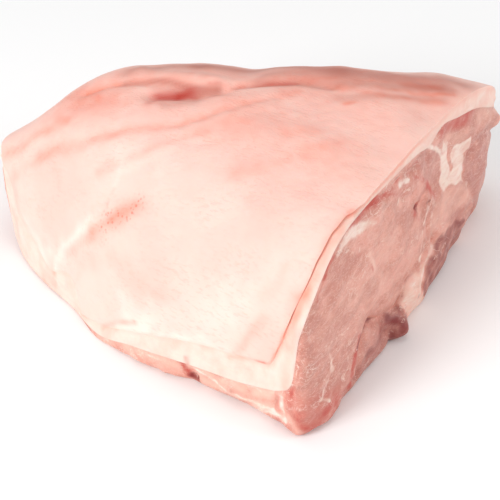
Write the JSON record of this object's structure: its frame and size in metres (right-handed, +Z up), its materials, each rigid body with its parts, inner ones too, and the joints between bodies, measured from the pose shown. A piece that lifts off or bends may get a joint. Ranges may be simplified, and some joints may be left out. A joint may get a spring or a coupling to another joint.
{
  "type": "pork rump roast",
  "caption": "Thick wedge of raw pork rump: lean meat cut flat on one side, under a domed cap of white fat and pale rind; it rests on a flat underside.",
  "frame": {"origin": "middle of the plan outline, on the table under the roast", "axes": "+Z up, +X the outward side of the large cut face, +Y along that face from the trimmed front corner to the far corner"},
  "size_m": [0.2223, 0.2194, 0.096],
  "materials": {
    "lean_meat": "raw pork lean, moist satin, fine grain with pale seams of fat",
    "fat_cap": "white fat under pale pink rind, dry satin with pores and faint pink streaks"
  },
  "bodies": {
    "root": {"lean_meat": "lean_meat", "fat_cap": "fat_cap"}
  },
  "joints": []
}
